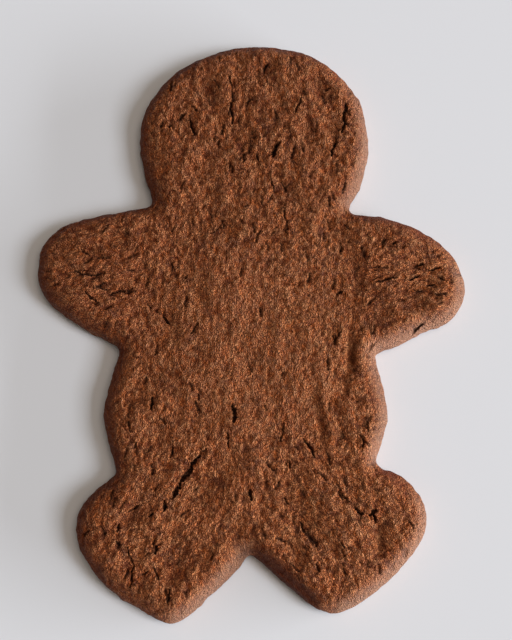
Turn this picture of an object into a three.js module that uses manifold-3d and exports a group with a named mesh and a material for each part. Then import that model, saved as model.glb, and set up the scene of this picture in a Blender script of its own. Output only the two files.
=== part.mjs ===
// A plain gingerbread man cookie, cut from rolled dough and baked, as one solid.
//
// Millimetres, +Z up. The cookie lies on its flat underside with its head
// towards +Y. The origin is on the underside, at the middle of the cookie's
// length and width.

import * as THREE from "three";
import { mergeVertices } from "three/addons/utils/BufferGeometryUtils.js";
import Module from "manifold-3d";

// ---- Driving dimensions -------------------------------------------------

const EDGE_HEIGHT = 7.3; // where the rounded shoulder meets the top
const WIDEST_AT = 2.4; // height at which the cookie is widest
const SHOULDER = 4.0; // how far in from the side the top begins
const FOOT = 0.8; // how far the underside is set in from the widest outline
const FOOT_INSET = 0.25; // where the rounded foot turns into the side, inwards
const FOOT_RISE = 0.5; // and upwards
const NOTCH_RADIUS = 1.3; // dough closes up the inner corners between limbs

// The outline's points go in fours, so that the rings of the top can be
// halved twice.
const OUTLINE_SPACING = 1.6; // about how far apart the points are
const NOTCH_STEPS = 4; // pieces in each rounded inner corner
const SHOULDER_STEPS = 6; // rings over the rounded shoulder

// The dough rose a little higher in the belly and in the head.
const MOUNDS = [
  { place: new THREE.Vector2(0, -13), reach: 30, rise: 0.6 },
  { place: new THREE.Vector2(1, 40), reach: 22, rise: 0.4 },
];

// Low swells that rolling and baking leave in the top.
const SWELL_HEIGHT = 0.22;
const SWELLS = [
  { length: 47, heading: 20, shift: 0.4 },
  { length: 31, heading: 100, shift: 2.1 },
  { length: 23, heading: 155, shift: 4.0 },
];

// ---- Outline ------------------------------------------------------------

const radians = THREE.MathUtils.degToRad;
const along = (degrees) =>
  new THREE.Vector2(Math.cos(radians(degrees)), Math.sin(radians(degrees)));

// The outline runs anticlockwise through these landmarks. A turn has its
// place and the way the outline heads there, in degrees from +X. A notch is
// the inner corner between two limbs: the outline arrives on one heading and
// leaves on another.
const turn = (x, y, heading) => ({ x, y, arrive: heading, leave: heading });
const notch = (x, y, arrive, leave) => ({ x, y, arrive, leave, inner: true });

const OUTLINE = [
  notch(-0.2, -48.2, 57, -40), // crotch
  turn(13.2, -59.3, -36), // right leg: inner side of the toe
  turn(17.6, -60.6, 4), // toe
  turn(23.0, -58.2, 33), // sole
  turn(32.4, -50.0, 48), // ball of the foot
  turn(36.7, -40.6, 92), // heel
  turn(32.6, -33.3, 142), // ankle
  notch(26.2, -30.2, 163, 75), // right hip
  turn(28.9, -19.6, 91), // right side of the belly
  notch(26.1, -6.2, 103, 10), // right armpit
  turn(35.0, -2.6, 31), // right arm: underside
  turn(40.6, -0.6, 24), // palm
  turn(45.7, 8.0, 90), // hand
  turn(36.9, 20.1, 151), // shoulder
  notch(21.0, 24.6, 173, 62), // right side of the neck
  turn(25.9, 40.5, 90), // right cheek
  turn(20.3, 55.2, 130), // right temple
  turn(1.0, 62.5, 180), // crown
  turn(-24.3, 40.4, 270), // left cheek
  notch(-20.9, 25.7, 284, 185), // left side of the neck
  turn(-38.6, 22.1, 196), // left arm: shoulder
  turn(-45.7, 12.2, 268), // hand
  turn(-41.9, 3.6, 320), // palm
  notch(-27.6, -5.2, 333, 257), // left armpit
  turn(-30.7, -18.8, 271), // left side of the belly
  notch(-27.6, -31.9, 289, 214), // left hip
  turn(-32.4, -35.4, 225), // left leg: ankle
  turn(-36.2, -42.6, 269), // heel
  turn(-31.6, -53.2, 310), // ball of the foot
  turn(-20.6, -60.9, 331), // sole
  turn(-16.6, -62.5, 358), // toe
  turn(-11.4, -60.1, 46), // inner side of the toe
];

// Where the outline comes to a landmark and where it goes on from it. They
// differ only at a notch, which is rounded between the two.
function ends({ x, y, arrive, leave, inner }) {
  const corner = new THREE.Vector2(x, y);
  const reach = inner ? NOTCH_RADIUS : 0;
  return {
    corner,
    start: corner.clone().addScaledVector(along(arrive), -reach),
    end: corner.clone().addScaledVector(along(leave), reach),
  };
}

// A cubic curve from one heading to another, as near to a circular arc as the
// two ends allow.
function arcLike(start, leave, end, arrive) {
  const bend = radians(
    THREE.MathUtils.euclideanModulo(arrive - leave + 180, 360) - 180,
  );
  const reach = start.distanceTo(end) / (3 * Math.cos(bend / 4) ** 2);
  return new THREE.CubicBezierCurve(
    start,
    start.clone().addScaledVector(along(leave), reach),
    end.clone().addScaledVector(along(arrive), -reach),
    end,
  );
}

// The outline as points, anticlockwise, with its box centred on the origin.
function outlinePoints() {
  const points = [];
  OUTLINE.forEach((here, i) => {
    const next = OUTLINE[(i + 1) % OUTLINE.length];
    const from = ends(here);
    const to = ends(next);
    if (here.inner) {
      const round = new THREE.QuadraticBezierCurve(
        from.start,
        from.corner,
        from.end,
      );
      points.push(...round.getSpacedPoints(NOTCH_STEPS).slice(0, -1));
    }
    const side = arcLike(from.end, here.leave, to.start, next.arrive);
    const fours = Math.round(side.getLength() / (4 * OUTLINE_SPACING));
    const steps = 4 * Math.max(1, fours);
    points.push(...side.getSpacedPoints(steps).slice(0, -1));
  });
  const middle = new THREE.Box2()
    .setFromPoints(points)
    .getCenter(new THREE.Vector2());
  points.forEach((p) => p.sub(middle));
  return points;
}

// Moves each point of the outline inwards, square to the outline.
function inset(outline, distance) {
  return outline.map((p, i) => {
    const before = outline.at(i - 1);
    const after = outline[(i + 1) % outline.length];
    const inwards = new THREE.Vector2(
      before.y - after.y,
      after.x - before.x,
    ).normalize();
    return p.clone().addScaledVector(inwards, distance);
  });
}

// ---- Dough --------------------------------------------------------------

// How far the mounds and the swells lift the top at a place.
function liftAt(p) {
  const mounds = MOUNDS.map(
    ({ place, reach, rise }) => rise * Math.exp(-((p.distanceTo(place) / reach) ** 2)),
  );
  const swells = SWELLS.map(
    ({ length, heading, shift }) =>
      (SWELL_HEIGHT / SWELLS.length) *
      Math.cos((2 * Math.PI * p.dot(along(heading))) / length + shift),
  );
  return [...mounds, ...swells].reduce((sum, lift) => sum + lift);
}

// The rings of the side, from the underside up over the shoulder, each as
// points with a height.
function sideRings(outline) {
  const ring = (distance, height, lifted = 0) =>
    inset(outline, distance).map(
      (p) => new THREE.Vector3(p.x, p.y, height + lifted * liftAt(p)),
    );
  const rings = [
    ring(FOOT, 0),
    ring(FOOT_INSET, FOOT_RISE),
    ring(0, WIDEST_AT),
  ];
  for (let step = 1; step <= SHOULDER_STEPS; step++) {
    const angle = ((Math.PI / 2) * step) / SHOULDER_STEPS;
    const distance = SHOULDER * (1 - Math.cos(angle));
    const rise = Math.sin(angle);
    const height = WIDEST_AT + (EDGE_HEIGHT - WIDEST_AT) * rise;
    rings.push(ring(distance, height, (distance / SHOULDER) ** 2));
  }
  return rings;
}

// The rings of the top, which close in on the belly. Every second ring has
// half as many points as the one outside it, down to a coarse one.
const BELLY = new THREE.Vector2(0, -13); // the whole outline can be seen from here
const TOP_SHARES = [0.9, 0.8, 0.68, 0.55, 0.42, 0.28, 0.14];
const HALVED_AT = [0.8, 0.42];

function topRings(shoulder) {
  let source = shoulder.map((p) => new THREE.Vector2(p.x, p.y).sub(BELLY));
  return TOP_SHARES.map((share) => {
    if (HALVED_AT.includes(share)) source = source.filter((_, i) => i % 2 === 0);
    return source.map((p) => {
      const place = p.clone().multiplyScalar(share).add(BELLY);
      return new THREE.Vector3(place.x, place.y, EDGE_HEIGHT + liftAt(place));
    });
  });
}

// Joins rings, from the lowest to the innermost, into one closed surface. A
// ring has either as many points as the one before it or every second one.
function closedSurface(rings, lowMiddle, highMiddle) {
  const vertices = [];
  const faces = [];
  const starts = rings.map((ring) => {
    const start = vertices.length;
    vertices.push(...ring);
    return start;
  });
  rings.slice(1).forEach((inner, k) => {
    const outer = rings[k];
    const a = (i) => starts[k] + (i % outer.length);
    const b = (i) => starts[k + 1] + (i % inner.length);
    if (inner.length === outer.length) {
      for (let i = 0; i < outer.length; i++)
        faces.push(a(i), a(i + 1), b(i + 1), a(i), b(i + 1), b(i));
      return;
    }
    inner.forEach((_, j) => {
      const i = 2 * j;
      faces.push(a(i), a(i + 1), b(j));
      faces.push(a(i + 1), a(i + 2), b(j + 1), a(i + 1), b(j + 1), b(j));
    });
  });
  const low = vertices.push(lowMiddle) - 1;
  const high = vertices.push(highMiddle) - 1;
  const last = rings.at(-1).length;
  for (let i = 0; i < rings[0].length; i++)
    faces.push(low, (i + 1) % rings[0].length, i);
  for (let i = 0; i < last; i++)
    faces.push(high, starts.at(-1) + i, starts.at(-1) + ((i + 1) % last));
  return new THREE.BufferGeometry().setFromPoints(vertices).setIndex(faces);
}

function dough() {
  const outline = outlinePoints();
  const side = sideRings(outline);
  const top = topRings(side.at(-1));
  const lowMiddle = new THREE.Vector3(BELLY.x, BELLY.y, 0);
  const highMiddle = new THREE.Vector3(
    BELLY.x,
    BELLY.y,
    EDGE_HEIGHT + liftAt(BELLY),
  );
  return closedSurface([...side, ...top], lowMiddle, highMiddle);
}

// ---- Cracks -------------------------------------------------------------

// The splits that opened in the top as it baked. Each is a slit with its
// middle, the way it runs in degrees from +X, its length, width and depth.
const crack = (x, y, heading, length, width, depth) => ({
  x,
  y,
  heading,
  length,
  width,
  depth,
});

const CRACKS = [
  crack(-12.9, -32.2, 57, 11.2, 1.0, 2.4), // left leg, the long one
  crack(-17.6, -39.0, 92, 3.0, 0.9, 2.2), // its lower end
  crack(-3.4, -19.9, 94, 4.6, 0.9, 2.4), // belly
  crack(-4.5, -25.4, 92, 3.8, 0.6, 1.6), // belly, lower down
  crack(0.1, -36.9, 96, 2.8, 0.9, 2.0), // above the crotch
  crack(-20.5, -17.8, 91, 3.2, 0.8, 1.8), // left side of the belly
  crack(12.3, -27.0, 120, 5.4, 0.8, 1.8), // right side of the belly
  crack(21.2, -7.2, 87, 7.6, 1.4, 2.0), // fold at the right armpit
  crack(5.4, 37.6, 67, 4.2, 0.9, 1.8), // middle of the face
  crack(-4.1, 45.8, 95, 5.4, 0.8, 1.8), // forehead
  crack(-12.6, 42.5, 102, 4.0, 0.8, 1.8), // left cheek
  crack(20.3, 44.7, 84, 7.4, 0.8, 1.6), // right cheek
  crack(18.0, 38.2, 75, 5.4, 0.8, 1.6), // right cheek, lower down
  crack(7.5, 22.2, 95, 7.0, 0.6, 1.4), // neck
  crack(-33.5, 9.9, 2, 6.4, 0.8, 1.6), // left hand
  crack(-27.5, 6.2, 14, 6.0, 0.7, 1.6), // left arm
  crack(28.7, 8.8, 11, 5.2, 0.8, 1.6), // right arm
  crack(34.8, 9.2, 22, 3.4, 0.8, 1.6), // right hand
  crack(22.3, -40.1, 139, 2.8, 0.9, 2.0), // right leg
  crack(-24.2, -53.0, 84, 5.0, 0.8, 1.6), // left foot
];

// A crack's cutter: a lens, pointed at its ends and widest at the surface.
const LENS_SIDES = 8;
const LENS_TIERS = 6;

function crackCutter({ x, y, heading, length, width, depth }) {
  const lens = new THREE.SphereGeometry(1, LENS_SIDES, LENS_TIERS)
    .rotateZ(Math.PI / 2)
    .scale(length / 2, width / 2, depth);
  const surface = EDGE_HEIGHT + liftAt(new THREE.Vector2(x, y));
  return lens.rotateZ(radians(heading)).translate(x, y, surface);
}

// ---- Solids -------------------------------------------------------------

const wasm = await Module();
wasm.setup();

function solidOf(geometry) {
  const bare = geometry.clone();
  bare.deleteAttribute("normal");
  bare.deleteAttribute("uv");
  const merged = mergeVertices(bare);
  return new wasm.Manifold(
    new wasm.Mesh({
      numProp: 3,
      vertProperties: merged.attributes.position.array,
      triVerts: new Uint32Array(merged.index.array),
    }),
  );
}

function geometryOf(solid) {
  const { vertProperties, triVerts } = solid.getMesh();
  const geometry = new THREE.BufferGeometry()
    .setAttribute("position", new THREE.BufferAttribute(vertProperties, 3))
    .setIndex(new THREE.BufferAttribute(triVerts, 1));
  geometry.computeVertexNormals();
  return geometry;
}

function cookie() {
  const cut = CRACKS.reduce(
    (solid, split) => solid.subtract(solidOf(crackCutter(split))),
    solidOf(dough()),
  );
  const baked = new THREE.MeshStandardMaterial({
    color: 0x77452c,
    roughness: 0.85,
    metalness: 0,
  });
  const mesh = new THREE.Mesh(geometryOf(cut), baked);
  mesh.name = "cookie";
  return mesh;
}

const gingerbreadMan = new THREE.Group();
gingerbreadMan.add(cookie());

export default gingerbreadMan;
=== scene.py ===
"""A plain gingerbread man cookie, rolled, cut and baked, lying on a pale board.

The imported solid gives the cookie's size, outline and place. This script builds its
fine surface: the wrinkled top, the splits that opened in the oven, the rounded
shoulder, the side and the underside, as one closed mesh. Lengths are in millimetres
until a mesh is made, and meshes are in metres.
"""

import logging
import math
from dataclasses import dataclass, field
from enum import Enum

import bmesh
import bpy
import numpy as np
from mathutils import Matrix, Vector, kdtree
from mathutils.geometry import delaunay_2d_cdt


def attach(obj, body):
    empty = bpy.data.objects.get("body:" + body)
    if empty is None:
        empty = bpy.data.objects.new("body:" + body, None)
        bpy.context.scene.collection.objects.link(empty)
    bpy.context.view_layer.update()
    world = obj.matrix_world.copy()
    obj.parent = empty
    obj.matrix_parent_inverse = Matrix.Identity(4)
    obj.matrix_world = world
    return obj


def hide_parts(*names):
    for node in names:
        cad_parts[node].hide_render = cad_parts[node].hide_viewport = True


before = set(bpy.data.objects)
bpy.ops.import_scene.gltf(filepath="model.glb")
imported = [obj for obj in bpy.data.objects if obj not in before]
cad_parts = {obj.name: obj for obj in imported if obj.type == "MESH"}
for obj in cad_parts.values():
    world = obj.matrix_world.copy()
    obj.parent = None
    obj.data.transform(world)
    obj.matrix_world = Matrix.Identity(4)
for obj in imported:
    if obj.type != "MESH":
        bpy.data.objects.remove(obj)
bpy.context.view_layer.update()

MM = 0.001
log = logging.getLogger("gingerbread")

# The mix node's sockets for colours share their names with others, so they go by number.
MIX_SHARE, MIX_FROM, MIX_TO, MIX_RESULT = 0, 6, 7, 2


# ---- Shared helpers ------------------------------------------------------


def linear_colour(hex_colour: str, alpha: float = 1.0) -> tuple[float, float, float, float]:
    """Turns an sRGB hex colour into a linear one.

    Args:
        hex_colour: The colour, such as "#7a472c".
        alpha: The fourth value of the result.

    Returns:
        Linear red, green and blue from 0 to 1, and alpha.
    """
    parts = [int(hex_colour[i : i + 2], 16) / 255 for i in (1, 3, 5)]
    linear = [p / 12.92 if p <= 0.04045 else ((p + 0.055) / 1.055) ** 2.4 for p in parts]
    return (*linear, alpha)


def add_node(
    tree: bpy.types.NodeTree,
    kind: str,
    settings: dict | None = None,
    sockets: dict | None = None,
    links: dict | None = None,
) -> bpy.types.Node:
    """Adds a shader node with its settings, the values of its sockets and its links.

    Args:
        tree: The material's node tree.
        kind: The node's type name.
        settings: Attribute names of the node and their values.
        sockets: Input names or numbers and their fixed values.
        links: Input names or numbers and the output sockets that feed them.

    Returns:
        The new node.
    """
    node = tree.nodes.new(kind)
    for name, value in (settings or {}).items():
        setattr(node, name, value)
    for name, value in (sockets or {}).items():
        node.inputs[name].default_value = value
    for name, output in (links or {}).items():
        tree.links.new(output, node.inputs[name])
    return node


def smoothstep(low: float, high: float, values: np.ndarray) -> np.ndarray:
    """Rises smoothly from 0 at low to 1 at high."""
    t = np.clip((values - low) / (high - low), 0.0, 1.0)
    return t * t * (3 - 2 * t)


def direction(degrees: float) -> np.ndarray:
    """The unit vector at an angle from +X."""
    return np.array([math.cos(math.radians(degrees)), math.sin(math.radians(degrees))])


# ---- The dough's grain and its marks, in millimetres ---------------------


class Grain(Enum):
    """The ways that the rolled dough's grain runs, in degrees from +X."""

    UPRIGHT = 90.0
    ACROSS = 10.0
    LEFT_LEG = 62.0
    RIGHT_LEG = 122.0


@dataclass(frozen=True)
class LimbZone:
    """A round part of the cookie where the grain leaves the upright way.

    Attributes:
        x: The zone's middle.
        y: The zone's middle.
        reach: How far the zone goes from its middle.
        grain: The way that the grain runs there.
    """

    x: float
    y: float
    reach: float
    grain: Grain


LIMB_ZONES = (
    LimbZone(-37.0, 10.0, 15.0, Grain.ACROSS),
    LimbZone(37.0, 7.5, 14.0, Grain.ACROSS),
    LimbZone(-19.5, -41.0, 13.5, Grain.LEFT_LEG),
    LimbZone(18.5, -41.0, 14.5, Grain.RIGHT_LEG),
)


@dataclass(frozen=True)
class Mark:
    """A split, a hollow, or a strip of painted shade on the top.

    Attributes:
        x: Its middle.
        y: Its middle.
        heading: The way it runs, in degrees from +X.
        length: Its length.
        width: Its width.
        depth: Its depth.
    """

    x: float
    y: float
    heading: float
    length: float
    width: float
    depth: float


# Splits that opened in the oven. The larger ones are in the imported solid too.
SPLITS = (
    Mark(-10.6, -28.9, 52, 4.6, 0.35, 0.7),  # left leg, the thin start of the long one
    Mark(-12.9, -32.2, 57, 8.8, 1.0, 1.8),  # the long one
    Mark(-15.4, -36.2, 66, 2.8, 1.15, 1.8),  # its wide end
    Mark(-17.6, -39.0, 94, 2.4, 0.85, 1.5),
    Mark(-20.3, -40.9, 45, 1.4, 0.55, 0.9),
    Mark(-23.8, -39.4, 38, 2.6, 0.55, 0.7),
    Mark(-27.1, -43.5, 76, 1.9, 0.60, 0.9),
    Mark(-27.0, -46.5, 139, 1.3, 0.60, 0.9),
    Mark(-24.4, -49.4, 107, 4.2, 0.40, 0.8),
    Mark(-24.1, -53.5, 81, 4.6, 0.55, 0.9),
    Mark(-19.3, -47.9, 79, 2.1, 0.80, 1.2),
    Mark(-19.1, -52.7, 108, 3.0, 0.45, 0.8),
    Mark(-21.4, -52.6, 33, 1.6, 0.50, 0.7),
    Mark(-16.5, -57.4, 90, 3.4, 0.60, 0.9),
    Mark(-3.4, -19.9, 94, 4.2, 0.95, 1.7),  # belly
    Mark(-4.6, -24.5, 104, 2.0, 0.40, 0.8),
    Mark(-4.5, -26.3, 83, 1.9, 0.35, 0.8),
    Mark(6.6, -24.0, 75, 4.0, 0.35, 0.8),
    Mark(8.1, -30.5, 86, 1.6, 0.45, 0.8),
    Mark(0.1, -36.9, 96, 2.5, 0.80, 1.4),  # above the crotch
    Mark(-20.5, -17.8, 91, 2.9, 0.75, 1.3),
    Mark(-16.2, -27.9, 87, 2.6, 0.50, 0.9),
    Mark(-10.8, -16.5, 93, 2.0, 0.35, 0.7),
    Mark(-23.8, -26.5, 73, 1.4, 0.40, 0.7),
    Mark(12.3, -27.0, 120, 5.0, 0.60, 1.2),
    Mark(23.5, -25.9, 85, 2.3, 0.50, 1.0),
    Mark(24.3, -22.9, 93, 2.0, 0.30, 0.6),
    Mark(19.3, -37.1, 126, 3.4, 0.45, 0.9),  # right leg
    Mark(22.3, -40.1, 139, 2.3, 0.80, 1.4),
    Mark(25.2, -40.4, 33, 2.2, 1.00, 1.3),
    Mark(25.5, -41.6, 106, 2.0, 0.70, 1.1),
    Mark(33.0, -42.6, 153, 1.6, 0.45, 0.8),
    Mark(7.5, -38.0, 123, 2.0, 0.40, 0.8),
    Mark(10.7, -43.3, 107, 2.6, 0.50, 0.9),
    Mark(12.3, -45.6, 133, 4.2, 0.40, 0.8),
    Mark(18.9, -47.0, 112, 1.5, 0.45, 0.8),
    Mark(13.8, -51.5, 115, 2.0, 0.60, 0.9),
    Mark(5.4, 37.6, 67, 4.0, 1.00, 1.7),  # head
    Mark(1.6, 35.7, 101, 2.0, 0.50, 1.0),
    Mark(-4.1, 45.8, 95, 5.2, 0.65, 1.2),
    Mark(-12.6, 42.5, 102, 3.8, 0.65, 1.3),
    Mark(-15.0, 45.0, 62, 1.9, 0.80, 1.2),
    Mark(-12.1, 46.9, 136, 2.2, 0.50, 0.9),
    Mark(-19.3, 43.1, 20, 0.9, 0.70, 0.9),
    Mark(-17.6, 42.9, 80, 0.9, 0.60, 0.9),
    Mark(-4.3, 53.0, 112, 3.2, 0.45, 0.8),
    Mark(-0.3, 48.6, 33, 2.3, 0.45, 0.9),
    Mark(3.3, 56.5, 60, 2.4, 0.60, 0.9),
    Mark(10.4, 47.7, 71, 3.8, 0.50, 0.9),
    Mark(20.3, 44.7, 84, 7.0, 0.70, 1.3),
    Mark(18.0, 38.2, 75, 5.2, 0.60, 1.2),
    Mark(-4.5, 33.9, 90, 2.3, 0.35, 0.7),
    Mark(4.6, 30.3, 101, 4.4, 0.30, 0.7),
    Mark(7.5, 22.2, 95, 7.2, 0.35, 0.8),
    Mark(-7.3, 19.7, 44, 3.6, 0.35, 0.6),
    Mark(-33.5, 9.9, 2, 5.6, 0.55, 1.2),  # left arm
    Mark(-36.6, 10.4, 150, 2.0, 0.40, 0.8),
    Mark(-33.6, 4.9, 138, 4.0, 0.50, 1.0),
    Mark(-27.5, 6.2, 14, 5.8, 0.45, 1.0),
    Mark(-35.1, 14.8, 146, 2.6, 0.45, 0.9),
    Mark(-31.1, 19.7, 40, 1.7, 0.45, 0.7),
    Mark(-21.4, 3.1, 122, 1.6, 0.45, 0.8),
    Mark(-17.7, 0.1, 128, 2.7, 0.60, 1.1),
    Mark(-16.7, 11.5, 92, 2.4, 0.35, 0.8),
    Mark(-13.6, 9.2, 52, 1.6, 0.35, 0.7),
    Mark(28.7, 8.8, 11, 5.0, 0.60, 1.1),  # right arm
    Mark(34.8, 9.2, 22, 2.7, 0.60, 1.1),
    Mark(36.0, 12.1, 20, 1.8, 0.70, 1.1),
    Mark(39.2, 11.2, 25, 2.7, 0.55, 1.0),
    Mark(40.5, 9.0, 152, 2.1, 0.45, 0.8),
    Mark(38.2, 7.6, 176, 1.8, 0.50, 0.9),
    Mark(30.5, 16.8, 17, 1.3, 0.60, 0.9),
    Mark(26.8, 11.5, 12, 1.7, 0.40, 0.7),
    Mark(18.9, 5.9, 19, 1.6, 0.60, 0.9),
    Mark(18.3, -3.5, 54, 3.0, 0.45, 0.8),
    Mark(20.8, 20.4, 133, 2.2, 0.35, 0.6),
    Mark(35.2, -1.7, 48, 4.2, 0.80, 1.2),
)

# Soft valleys where the dough sank or was pulled as the cookie was cut.
HOLLOWS = (
    Mark(21.3, -7.4, 87, 8.5, 1.9, 1.49),  # fold at the right armpit
    Mark(14.6, -20.8, 101, 11.0, 1.7, 0.88),  # right side of the belly
    Mark(20.0, -13.9, 88, 5.0, 1.0, 0.54),
    Mark(26.7, -45.7, 85, 8.0, 1.9, 0.81),  # right foot
    Mark(13.0, -46.0, 133, 7.0, 1.8, 0.54),
    Mark(-14.6, -51.0, 60, 11.0, 3.2, 0.68),  # left foot
    Mark(-24.0, -41.0, 55, 9.0, 2.8, 0.61),
    Mark(15.2, 51.5, 105, 7.0, 3.2, 0.74),  # head
    Mark(12.9, 41.8, 92, 6.0, 2.6, 0.47),
    Mark(3.5, 55.5, 30, 7.0, 2.8, 0.61),
    Mark(-8.5, 50.5, 80, 7.0, 3.4, 0.47),
    Mark(22.5, 10.5, 95, 10.0, 2.8, 0.47),
    Mark(27.0, 0.5, 30, 7.5, 3.0, 0.61),
    Mark(34.5, 3.2, 15, 7.0, 3.0, 0.47),
    Mark(6.6, -53.2, 140, 19.0, 2.4, 0.9),  # inner edge of the right leg
)

# A strip of painted shade along the inner edge of the right leg, which is only a matter of colour.
PAINTED_SHADES = (Mark(6.6, -53.4, 140, 21.0, 4.0, 0.0),)


@dataclass
class OvenSplits:
    """Splits and hollows, pressed into the top at given places.

    Attributes:
        seed: Starts the random draws, so that each run gives the same cookie.
        small_count: How many small splits lie scattered over the top.
        small_length: The shortest and the longest small split.
        small_width: The narrowest and the widest one.
        small_depth: The shallowest and the deepest one.
        smallness: How strongly short splits outnumber long ones.
        stray: How far a small split's heading strays from the grain, in degrees.
        keep_in: How far inside the outline the small splits stay.
        calm_middle: The middle of the belly, which split less.
        calm_reach: How far that part goes.
        calm_share: How many fewer splits there are in its middle.
        overrun: How far past a split's ends the mesh is closer.
        beyond_wall: How far past its walls the mesh is closer.
        shake: How far a point of the mesh is out of place, as a share of the spacing.
        wander: How far a split leaves its straight line: a share of its length, and
            what every split has besides.
        wander_waves: Radians for each millimetre, and the share, of each bend.
        fray_waves: The same for the changes in its width.
        taper: How soon a split narrows towards its ends.
        steepness: How steep its walls are.
        least_half: The least half width that the walls are worked out from.
    """

    seed: int = 31
    small_count: int = 900
    small_length: tuple[float, float] = (0.7, 3.0)
    small_width: tuple[float, float] = (0.32, 0.6)
    small_depth: tuple[float, float] = (0.25, 0.8)
    smallness: float = 3.5
    stray: float = 20.0
    keep_in: float = 2.2
    calm_middle: tuple[float, float] = (2.0, -6.0)
    calm_reach: float = 24.0
    calm_share: float = 0.75
    overrun: float = 0.2
    beyond_wall: float = 0.35
    shake: float = 0.2
    wander: tuple[float, float] = (0.02, 0.06)
    wander_waves: tuple = ((1.5, 1.0), (4.1, 0.5))
    fray_waves: tuple = ((3.1, 0.22), (7.7, 0.16))
    taper: float = 0.6
    steepness: float = 1.8
    least_half: float = 0.05

    def scattered(self, points: np.ndarray, inset: np.ndarray, headings: np.ndarray) -> list[Mark]:
        """Draws the small splits.

        Args:
            points: Places on the top.
            inset: How far each place is inside the outline.
            headings: The way that the grain runs at each place, in degrees.

        Returns:
            The small splits, each along the grain of its place.
        """
        rng = np.random.default_rng(self.seed)
        open_top = np.flatnonzero(inset > self.keep_in)
        away = np.linalg.norm(points[open_top] - self.calm_middle, axis=1) / self.calm_reach
        chance = 1 - self.calm_share * np.exp(-(away**4))
        chosen = rng.choice(open_top, self.small_count, replace=False, p=chance / chance.sum())
        ranges = (self.small_length, self.small_width, self.small_depth)
        marks = []
        for place, heading in zip(points[chosen], headings[chosen]):
            size = rng.uniform() ** self.smallness
            length, width, depth = (low + (high - low) * size for low, high in ranges)
            turned = heading + rng.normal(0, self.stray)
            marks.append(Mark(place[0], place[1], turned, length, width, depth))
        return marks

    def closer_points(self, spacing: float) -> np.ndarray:
        """Spreads extra points along the named splits, whose walls are steep.

        Args:
            spacing: How far apart the points are.

        Returns:
            The points.
        """
        rng = np.random.default_rng(self.seed + 2)
        points = []
        for mark in SPLITS:
            forward = direction(mark.heading)
            sideways = np.array([-forward[1], forward[0]])
            half = 0.5 * mark.length + self.overrun
            reach = 0.5 * mark.width + self.beyond_wall
            runs = np.arange(-half, half, spacing)
            rows = np.arange(-reach, reach + 0.5 * spacing, spacing)
            run, row = (part.ravel() for part in np.meshgrid(runs, rows))
            shake = rng.uniform(-self.shake, self.shake, (len(run), 2)) * spacing
            places = run[:, None] * forward + row[:, None] * sideways + (mark.x, mark.y)
            points.append(places + shake)
        return np.concatenate(points)

    def torn(self, mark: Mark, run: np.ndarray, across: np.ndarray, phases: np.ndarray) -> np.ndarray:
        """How far inside a split each place is, from 0 to 1. Its walls are ragged.

        Args:
            mark: The split.
            run: How far along the split each place is, from its middle.
            across: How far it is to the side.
            phases: Where each bend and each change in width starts.

        Returns:
            The value at each place.
        """
        share = np.clip(2 * np.abs(run) / mark.length, 0, 1)
        wander = self.wander[0] * mark.length + self.wander[1]
        half = 0.5 * mark.width * (1 - share**2) ** self.taper
        ragged = np.ones_like(run)
        for (pace, part), phase in zip(self.wander_waves, phases[:2]):
            across = across - part * wander * np.sin(pace * run + phase)
        for (pace, part), phase in zip(self.fray_waves, phases[2:]):
            ragged += part * np.sin(pace * run + phase)
        edge = np.abs(across) / np.maximum(half * ragged, self.least_half)
        return np.clip(self.steepness * (1 - edge), 0, 1) * (share < 1)

    @staticmethod
    def sunken(mark: Mark, run: np.ndarray, across: np.ndarray) -> np.ndarray:
        """How far inside a hollow each place is, from 0 to 1. Its sides are soft."""
        share = np.clip(2 * np.abs(run) / mark.length, 0, 1)
        return np.exp(-((2 * across / mark.width) ** 2)) * (1 - share**2) ** 0.5

    def carve(self, points: np.ndarray, marks: list[Mark], frayed: bool) -> tuple[np.ndarray, np.ndarray]:
        """Works out how deep the marks go at the given places.

        Args:
            points: Places on the top.
            marks: The marks to press in.
            frayed: True for splits, and False for hollows.

        Returns:
            The depth at each place, and from 0 to 1 how far inside a mark it lies.
        """
        rng = np.random.default_rng(self.seed + 1)
        depth = np.zeros(len(points))
        within = np.zeros(len(points))
        for mark in marks:
            phases = rng.uniform(0, 2 * math.pi, 4)
            reach = 0.5 * mark.length + mark.width
            close = np.abs(points - (mark.x, mark.y)) < reach
            near = np.flatnonzero(close[:, 0] & close[:, 1])
            if near.size == 0:
                continue
            offset = points[near] - (mark.x, mark.y)
            forward = direction(mark.heading)
            run = offset @ forward
            across = offset @ np.array([-forward[1], forward[0]])
            inside = self.torn(mark, run, across, phases) if frayed else self.sunken(mark, run, across)
            depth[near] = np.maximum(depth[near], mark.depth * inside)
            within[near] = np.maximum(within[near], inside)
        return depth, within


# ---- Patterns over the top -----------------------------------------------

# A place read from a grid stays this many cells short of the grid's far side.
JUST_OVER_ONE = 1.001


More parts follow.
